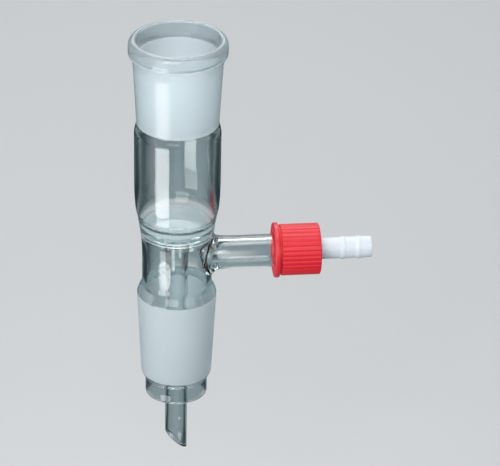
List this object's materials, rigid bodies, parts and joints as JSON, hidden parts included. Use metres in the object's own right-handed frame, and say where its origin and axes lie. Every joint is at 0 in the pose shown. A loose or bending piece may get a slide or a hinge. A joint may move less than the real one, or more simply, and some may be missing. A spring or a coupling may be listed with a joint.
{
  "type": "vacuum take off adapter",
  "caption": "Straight laboratory-glass adapter with a ground socket over a ground cone, a bevelled drip tube inside and a threaded side arm with a screw cap and hose nipple.",
  "frame": {"origin": "on the main axis at the cone's gauge plane, where the cone has its large diameter of 29.2 mm", "axes": "+Z along the main axis, from the drip tube's tip up to the socket; +X out along the side arm"},
  "size_m": [0.0893, 0.0356, 0.1692],
  "materials": {
    "glass": "clear borosilicate glass, frosted on its two ground tapers",
    "red_plastic": "satin red moulded plastic",
    "seal_rubber": "smooth",
    "white_plastic": "milky white moulded plastic"
  },
  "bodies": {
    "glass": {"glass_body": "glass"},
    "hose_fitting": {"sealing_ring": "seal_rubber", "hose_nipple": "white_plastic"},
    "cap": {"screw_cap": "red_plastic"}
  },
  "joints": [
    {"name": "fitting_slide", "type": "slide", "parent": "glass", "child": "hose_fitting", "axis": [1, 0, 0], "range_m": [0, 0.01]},
    {"name": "cap_turn", "type": "hinge", "parent": "hose_fitting", "child": "cap", "pos_m": [0.044, 0, 0.0161], "axis": [1, 0, 0], "range_deg": [0, 1440]}
  ],
  "couplings": [
    {"joint": "fitting_slide", "follows": "cap_turn", "m_per_rad": 0.00039789}
  ]
}
